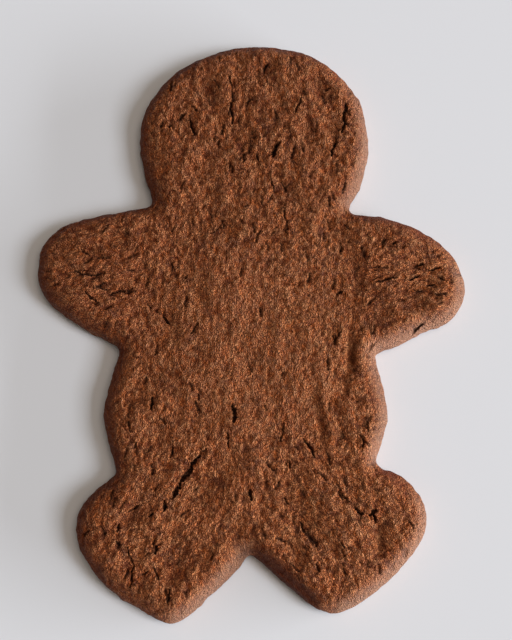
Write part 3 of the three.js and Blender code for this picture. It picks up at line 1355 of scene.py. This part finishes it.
    def build(self) -> bpy.types.Object:
        """Builds the mesh, with its map and the values that its finish reads.

        Returns:
            The cookie.
        """
        surface = self.surface()
        points, faces = surface["points"] * MM, surface["faces"]
        mesh = bpy.data.meshes.new("baked_cookie")
        mesh.vertices.add(len(points))
        mesh.vertices.foreach_set("co", points.astype(np.float32).ravel())
        mesh.loops.add(faces.size)
        mesh.loops.foreach_set("vertex_index", faces.astype(np.int32).ravel())
        mesh.polygons.add(len(faces))
        mesh.polygons.foreach_set("loop_start", np.arange(0, faces.size, 3, dtype=np.int32))
        mesh.update(calc_edges=True)
        mesh.validate()
        mesh.shade_smooth()
        chart = mesh.uv_layers.new(name="OFBake")
        chart.uv.foreach_set("vector", surface["map"].astype(np.float32).ravel())
        for name, values in surface["values"].items():
            attribute = mesh.attributes.new(name, "FLOAT", "POINT")
            attribute.data.foreach_set("value", values.astype(np.float32))
        cookie = bpy.data.objects.new("baked_cookie", mesh)
        bpy.context.scene.collection.objects.link(cookie)
        return cookie


# ---- Finishes ------------------------------------------------------------


@dataclass(frozen=True)
class BakedGingerbread:
    """Gingerbread dough with dark sugar and spice, rolled, cut and baked dry.

    The dried crust is matt and full of fine wrinkles. Raised grains are lighter,
    partly their own tone and partly a painted highlight, and the crevices, creases
    and hollows are painted darker as shade. The shoulder is darker on the side away
    from the lights, partly browned and partly painted shade, and paler on the side
    facing them, which is a painted highlight. The inside of a split is darker still,
    partly its own colour and partly painted shade. A share below is how far a colour
    goes towards another one, from 0 to 1.

    Attributes:
        crust: The colour of the top.
        grain: The lighter colour of raised grains, partly their own tone and partly a painted highlight.
        crevice_shade: The dark colour painted as shade between grains, in creases and in hollows.
        toast_and_shade_brown: The dark brown of browned patches, and of the shoulder on the side away from
            the lights, where it is partly painted shade.
        pale: The colour of the painted highlight on the shoulder that faces the lights.
        split: The colour inside a split, partly its own and partly painted shade.
        under: The colour of the underside.
        grain_highlight_share: The share of the grains' colour on the highest crumbs.
        seam_shade_share: The share of the dark colour painted as shade between the finest grains.
        seam_shade_width: How high on the fine grain that painted shade ends, from 0 to 1.
        crease_shade_share: The share of that colour in the wrinkles' creases, as painted shade.
        patch_size: The size of the patches where the top browned unevenly.
        patch_share: The share of the dark brown in them.
        toast_and_shade_share: The share of the dark brown on the shoulder away from the lights, partly
            browned crust and partly painted shade.
        painted_highlight_share: The share of the pale colour, a painted highlight, on the shoulder.
        hollow_shade_share: The share of the dark colour in a hollow, as painted shade.
        under_share: The share of the underside's colour.
        split_shade_share: The share of the splits' colour in the deepest ones, as painted shade.
        roughness: How matt the crust is.
        dry_spread: How much more matt the low parts are than that.
        oily_spread: How much less matt the raised parts are.
        gloss: How much light the crust's surface sends straight back.
        grain_width: The width of the finest grain. The real one is about 0.2 mm,
            which is too fine to show, so it is drawn coarser.
        grain_length: The length of a grain along the way it runs.
        grain_height: How high the grain stands.
        grain_apart: How far one limb's grain pattern is moved from the next one's.
        sand_size: The size of the sugar and flour specks.
        sand_height: How high they stand, as a share of the grain.
        toast_and_shade_relief: How high the grain stands where the shoulder is browned and painted with
            shade.
    """

    crust: str = "#db7231"
    grain: str = "#fdb67c"
    # The dark colour that paints shade in the crevices, creases and hollows.
    crevice_shade: str = "#4a1303"
    # A dark brown for the uneven patches and for the shoulder away from the lights, where it is partly
    # painted shade.
    toast_and_shade_brown: str = "#622304"
    # The paler shoulder facing the lights is a painted highlight.
    pale: str = "#c0937a"
    # Inside the splits: partly their own dark colour, partly painted shade.
    split: str = "#180803"
    under: str = "#643a22"
    grain_highlight_share: float = 0.62
    seam_shade_share: float = 0.9
    seam_shade_width: float = 0.32
    crease_shade_share: float = 0.8
    patch_size: float = 9.0
    patch_share: float = 0.35
    toast_and_shade_share: float = 0.8
    painted_highlight_share: float = 0.6
    hollow_shade_share: float = 0.35
    under_share: float = 0.85
    split_shade_share: float = 0.85
    roughness: float = 0.52
    dry_spread: float = 0.25
    oily_spread: float = 0.05
    gloss: float = 0.22
    grain_width: float = 0.5
    grain_length: float = 0.66
    grain_height: float = 1.0
    grain_apart: tuple[float, float] = (13.0, 7.0)
    sand_size: float = 0.3
    sand_height: float = 0.25
    toast_and_shade_relief: float = 0.8

    def build(self) -> bpy.types.Material:
        """Builds the material.

        Returns:
            The material.
        """
        material = bpy.data.materials.new("baked_gingerbread")
        material.use_nodes = True
        tree = material.node_tree
        tree.nodes.clear()
        place = add_node(tree, "ShaderNodeTexCoord").outputs["Object"]
        reads = {
            name: add_node(tree, "ShaderNodeAttribute", {"attribute_name": name}).outputs["Fac"]
            for name in ("crumb", "crease", "gap", "hollow", "toast_and_shade", "painted_highlight_rim", "underside")
        }
        grain = self.grain_pattern(tree, place)
        dryness = add_node(
            tree,
            "ShaderNodeMapRange",
            sockets={
                "From Min": 0.0,
                "From Max": 0.8,
                "To Min": self.roughness + self.dry_spread,
                "To Max": self.roughness - self.oily_spread,
            },
            links={"Value": grain},
        )
        shader = add_node(
            tree,
            "ShaderNodeBsdfPrincipled",
            sockets={"IOR": 1.45, "Specular IOR Level": self.gloss},
            links={
                "Base Color": self.colour(tree, place, grain, reads),
                "Roughness": dryness.outputs["Result"],
                "Normal": self.relief(tree, place, grain, reads["toast_and_shade"]),
            },
        )
        add_node(tree, "ShaderNodeOutputMaterial", links={"Surface": shader.outputs["BSDF"]})
        return material

    def grain_pattern(self, tree: bpy.types.NodeTree, place: bpy.types.NodeSocket) -> bpy.types.NodeSocket:
        """Draws the fine grain, along each limb's own way.

        Args:
            tree: The material's node tree.
            place: The place on the cookie.

        Returns:
            The grain's height, with round tops and sharp creases, from 0 to 1.
        """
        size = (self.grain_length, self.grain_width, self.grain_width)
        total = None
        for number, grain in enumerate(Grain):
            turned = add_node(
                tree,
                "ShaderNodeMapping",
                {"vector_type": "TEXTURE"},
                {
                    "Rotation": (0.0, 0.0, math.radians(grain.value)),
                    "Scale": tuple(side * MM for side in size),
                    "Location": (*(number * side * MM for side in self.grain_apart), 0.0),
                },
                {"Vector": place},
            )
            specks = add_node(
                tree,
                "ShaderNodeTexNoise",
                sockets={"Scale": 1.0, "Detail": 2.0, "Roughness": 0.55},
                links={"Vector": turned.outputs["Vector"]},
            )
            zone = {"attribute_name": f"grain_{grain.name.lower()}"}
            share = add_node(tree, "ShaderNodeAttribute", zone)
            links = {0: specks.outputs["Fac"], 1: share.outputs["Fac"]}
            if total is not None:
                links[2] = total
            added = add_node(tree, "ShaderNodeMath", {"operation": "MULTIPLY_ADD"}, {2: 0.0}, links)
            total = added.outputs["Value"]
        # Folding the pattern at its middle leaves round tops and sharp creases.
        for operation, number in (("SUBTRACT", 0.5), ("ABSOLUTE", 0.0), ("MULTIPLY", 4.0)):
            step = add_node(tree, "ShaderNodeMath", {"operation": operation}, {1: number}, {0: total})
            total = step.outputs["Value"]
        return total

    def colour(
        self,
        tree: bpy.types.NodeTree,
        place: bpy.types.NodeSocket,
        grain: bpy.types.NodeSocket,
        reads: dict[str, bpy.types.NodeSocket],
    ) -> bpy.types.NodeSocket:
        """Colours the crust by its grain, its browned patches and its splits, with painted shade and painted
        highlights.

        Args:
            tree: The material's node tree.
            place: The place on the cookie.
            grain: The fine grain.
            reads: The values that the mesh holds, by name.

        Returns:
            The colour.
        """
        # Painted shade in the low creases between the finest grains.
        seam_shade = add_node(
            tree,
            "ShaderNodeMapRange",
            sockets={"From Min": 0.0, "From Max": self.seam_shade_width, "To Min": 1.0, "To Max": 0.0},
            links={"Value": grain},
        )
        patches = add_node(
            tree,
            "ShaderNodeTexNoise",
            sockets={"Scale": 1 / (self.patch_size * MM), "Detail": 3.0, "Roughness": 0.6},
            links={"Vector": place},
        )
        coats = (
            # Lighter on raised crumbs: partly their own tone, partly a painted highlight.
            (reads["crumb"], self.grain_highlight_share, self.grain),
            # Painted shade between the finest grains.
            (seam_shade.outputs["Result"], self.seam_shade_share, self.crevice_shade),
            # Painted shade in the wrinkles' creases.
            (reads["crease"], self.crease_shade_share, self.crevice_shade),
            (patches.outputs["Fac"], self.patch_share, self.toast_and_shade_brown),
            # Partly browned crust, partly painted shade on the shoulder and top away from the lights.
            (reads["toast_and_shade"], self.toast_and_shade_share, self.toast_and_shade_brown),
            # A painted highlight on the shoulder that faces the lights.
            (reads["painted_highlight_rim"], self.painted_highlight_share, self.pale),
            # Painted shade in the hollows and in the strip on the right leg's inner edge.
            (reads["hollow"], self.hollow_shade_share, self.crevice_shade),
            (reads["underside"], self.under_share, self.under),
            # Painted shade in the splits, deeper ones darker, over their own dark colour.
            (reads["gap"], self.split_shade_share, self.split),
        )
        colour = None
        for where, share, coat in coats:
            part = add_node(tree, "ShaderNodeMath", {"operation": "MULTIPLY"}, {1: share}, {0: where})
            sockets = {MIX_FROM: linear_colour(self.crust), MIX_TO: linear_colour(coat)}
            links = {MIX_SHARE: part.outputs["Value"]}
            if colour is not None:
                links[MIX_FROM] = colour
            mix = add_node(tree, "ShaderNodeMix", {"data_type": "RGBA"}, sockets, links)
            colour = mix.outputs[MIX_RESULT]
        return colour

    def relief(
        self,
        tree: bpy.types.NodeTree,
        place: bpy.types.NodeSocket,
        grain: bpy.types.NodeSocket,
        toast_and_shade: bpy.types.NodeSocket,
    ) -> bpy.types.NodeSocket:
        """Raises the fine grain, which is finer than the mesh.

        Args:
            tree: The material's node tree.
            place: The place on the cookie.
            grain: The fine grain.
            toast_and_shade: How browned the crust is, with painted shade on the side away from the lights.

        Returns:
            The bumped normal.
        """
        sand = add_node(
            tree,
            "ShaderNodeTexNoise",
            sockets={"Scale": 1 / (self.sand_size * MM), "Detail": 2.0, "Roughness": 0.7},
            links={"Vector": place},
        )
        height = add_node(
            tree,
            "ShaderNodeMath",
            {"operation": "MULTIPLY_ADD"},
            {1: self.sand_height},
            {0: sand.outputs["Fac"], 2: grain},
        )
        strength = add_node(
            tree,
            "ShaderNodeMapRange",
            sockets={"From Min": 0.2, "From Max": 1.0, "To Min": 1.0, "To Max": self.toast_and_shade_relief},
            links={"Value": toast_and_shade},
        )
        bump = add_node(
            tree,
            "ShaderNodeBump",
            sockets={"Distance": self.grain_height * MM},
            links={"Height": height.outputs["Value"], "Strength": strength.outputs["Result"]},
        )
        return bump.outputs["Normal"]


@dataclass(frozen=True)
class PaleBoard:
    """A smooth white-painted board, which gives soft, even light grey.

    Attributes:
        paint: Its colour.
        roughness: How matt the paint is.
        sheen: How much light the paint's surface sends straight back.
    """

    paint: str = "#dadadc"
    roughness: float = 0.85
    sheen: float = 0.2

    def build(self) -> bpy.types.Material:
        """Builds the material.

        Returns:
            The material.
        """
        material = bpy.data.materials.new("pale_board")
        material.use_nodes = True
        tree = material.node_tree
        tree.nodes.clear()
        sockets = {
            "Base Color": linear_colour(self.paint),
            "Roughness": self.roughness,
            "Specular IOR Level": self.sheen,
        }
        shader = add_node(tree, "ShaderNodeBsdfPrincipled", sockets=sockets)
        add_node(tree, "ShaderNodeOutputMaterial", links={"Surface": shader.outputs["BSDF"]})
        return material


# ---- Studio --------------------------------------------------------------


@dataclass(frozen=True)
class SoftLight:
    """A large flat light that faces the cookie.

    Attributes:
        name: Its name.
        azimuth: Where it is, in degrees round from +X.
        elevation: How high it is, in degrees above the board.
        wide: Its width.
        high: Its height.
        power: Its power in watts.
        colour: Its colour.
        distance: How far away it is.
    """

    name: str
    azimuth: float
    elevation: float
    wide: float
    high: float
    power: float
    colour: str
    distance: float = 6000.0

    def build(self) -> bpy.types.Object:
        """Hangs the light.

        Returns:
            The light.
        """
        azimuth, elevation = math.radians(self.azimuth), math.radians(self.elevation)
        flat = math.cos(elevation)
        towards = Vector((math.cos(azimuth) * flat, math.sin(azimuth) * flat, math.sin(elevation)))
        lamp = bpy.data.lights.new(self.name, "AREA")
        lamp.shape = "RECTANGLE"
        lamp.size, lamp.size_y = self.wide * MM, self.high * MM
        lamp.energy = self.power
        lamp.color = linear_colour(self.colour)[:3]
        light = bpy.data.objects.new(self.name, lamp)
        light.location = towards * self.distance * MM
        light.rotation_mode = "QUATERNION"
        light.rotation_quaternion = towards.to_track_quat("Z", "Y")
        bpy.context.scene.collection.objects.link(light)
        return light


@dataclass
class Studio:
    """The pale board, the soft light and the camera.

    Attributes:
        board_side: The side of the board.
        lights: The soft lights.
        sky: The colour of the light from all round.
        sky_strength: How strong that is.
        far_wall: The pale wall that is seen beyond the board.
        lens: The camera's lens.
        tilt: How far the camera leans from straight down, towards the feet.
        distance: How far the camera is from what it looks at.
        aim: What it looks at, on the board.
    """

    board_side: float = 9000.0
    lights: tuple = (
        SoftLight("window", -18.0, 42.0, 2250.0, 2250.0, 244.0, "#eff6ff"),
        SoftLight("low_window", -8.0, 9.0, 6500.0, 1550.0, 738.0, "#eff6ff"),
        SoftLight("ceiling", 0.0, 79.0, 3500.0, 3500.0, 110.0, "#fff1e2"),
    )
    sky: str = "#fff1e2"
    sky_strength: float = 0.1
    far_wall: str = "#c9c9cb"
    lens: float = 85.0
    tilt: float = 12.0
    distance: float = 325.4
    aim: tuple[float, float] = (1.2, 1.5)

    def board(self) -> bpy.types.Object:
        """Lays the board under the cookie.

        Returns:
            The board.
        """
        half = self.board_side / 2 * MM
        mesh = bpy.data.meshes.new("board")
        corners = [(-half, -half, 0), (half, -half, 0), (half, half, 0), (-half, half, 0)]
        mesh.from_pydata(corners, [], [(0, 1, 2, 3)])
        mesh.materials.append(PaleBoard().build())
        board = bpy.data.objects.new("board", mesh)
        bpy.context.scene.collection.objects.link(board)
        return board

    def light(self) -> list[bpy.types.Object]:
        """Hangs the lights and sets the light from all round.

        Returns:
            The lights.
        """
        world = bpy.data.worlds.new("sky")
        world.use_nodes = True
        world.node_tree.nodes.clear()
        glow, wall = (
            add_node(
                world.node_tree,
                "ShaderNodeBackground",
                sockets={"Color": linear_colour(colour), "Strength": strength},
            )
            for colour, strength in ((self.sky, self.sky_strength), (self.far_wall, 1.0))
        )
        ray = add_node(world.node_tree, "ShaderNodeLightPath").outputs["Is Camera Ray"]
        seen = add_node(
            world.node_tree,
            "ShaderNodeMixShader",
            links={0: ray, 1: glow.outputs["Background"], 2: wall.outputs["Background"]},
        )
        add_node(world.node_tree, "ShaderNodeOutputWorld", links={"Surface": seen.outputs["Shader"]})
        bpy.context.scene.world = world
        return [light.build() for light in self.lights]

    def camera(self) -> bpy.types.Object:
        """Sets up the camera, which looks down on the cookie from its feet's side.

        Returns:
            The camera.
        """
        lean = math.radians(self.tilt)
        back = Vector((0.0, -math.sin(lean), math.cos(lean)))
        data = bpy.data.cameras.new("camera")
        data.lens = self.lens
        camera = bpy.data.objects.new("camera", data)
        camera.location = (Vector((*self.aim, 0.0)) + back * self.distance) * MM
        camera.rotation_mode = "QUATERNION"
        camera.rotation_quaternion = back.to_track_quat("Z", "Y")
        bpy.context.scene.collection.objects.link(camera)
        bpy.context.scene.camera = camera
        bpy.context.scene.view_settings.view_transform = "Standard"
        return camera


def main() -> None:
    """Builds the studio and the cookie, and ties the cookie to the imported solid."""
    logging.basicConfig(level=logging.INFO, format="%(name)s: %(message)s")
    studio = Studio()
    log.info("camera: %s", studio.camera().name)
    log.info("lights: %s", [light.name for light in studio.light()])
    log.info("board: %s", studio.board().name)
    cookie = BakedCookie().build()
    cookie.data.materials.append(BakedGingerbread().build())
    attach(cookie, "root")
    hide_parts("cookie")
    log.info("%s: %d faces", cookie.name, len(cookie.data.polygons))


if __name__ == "__main__":
    main()
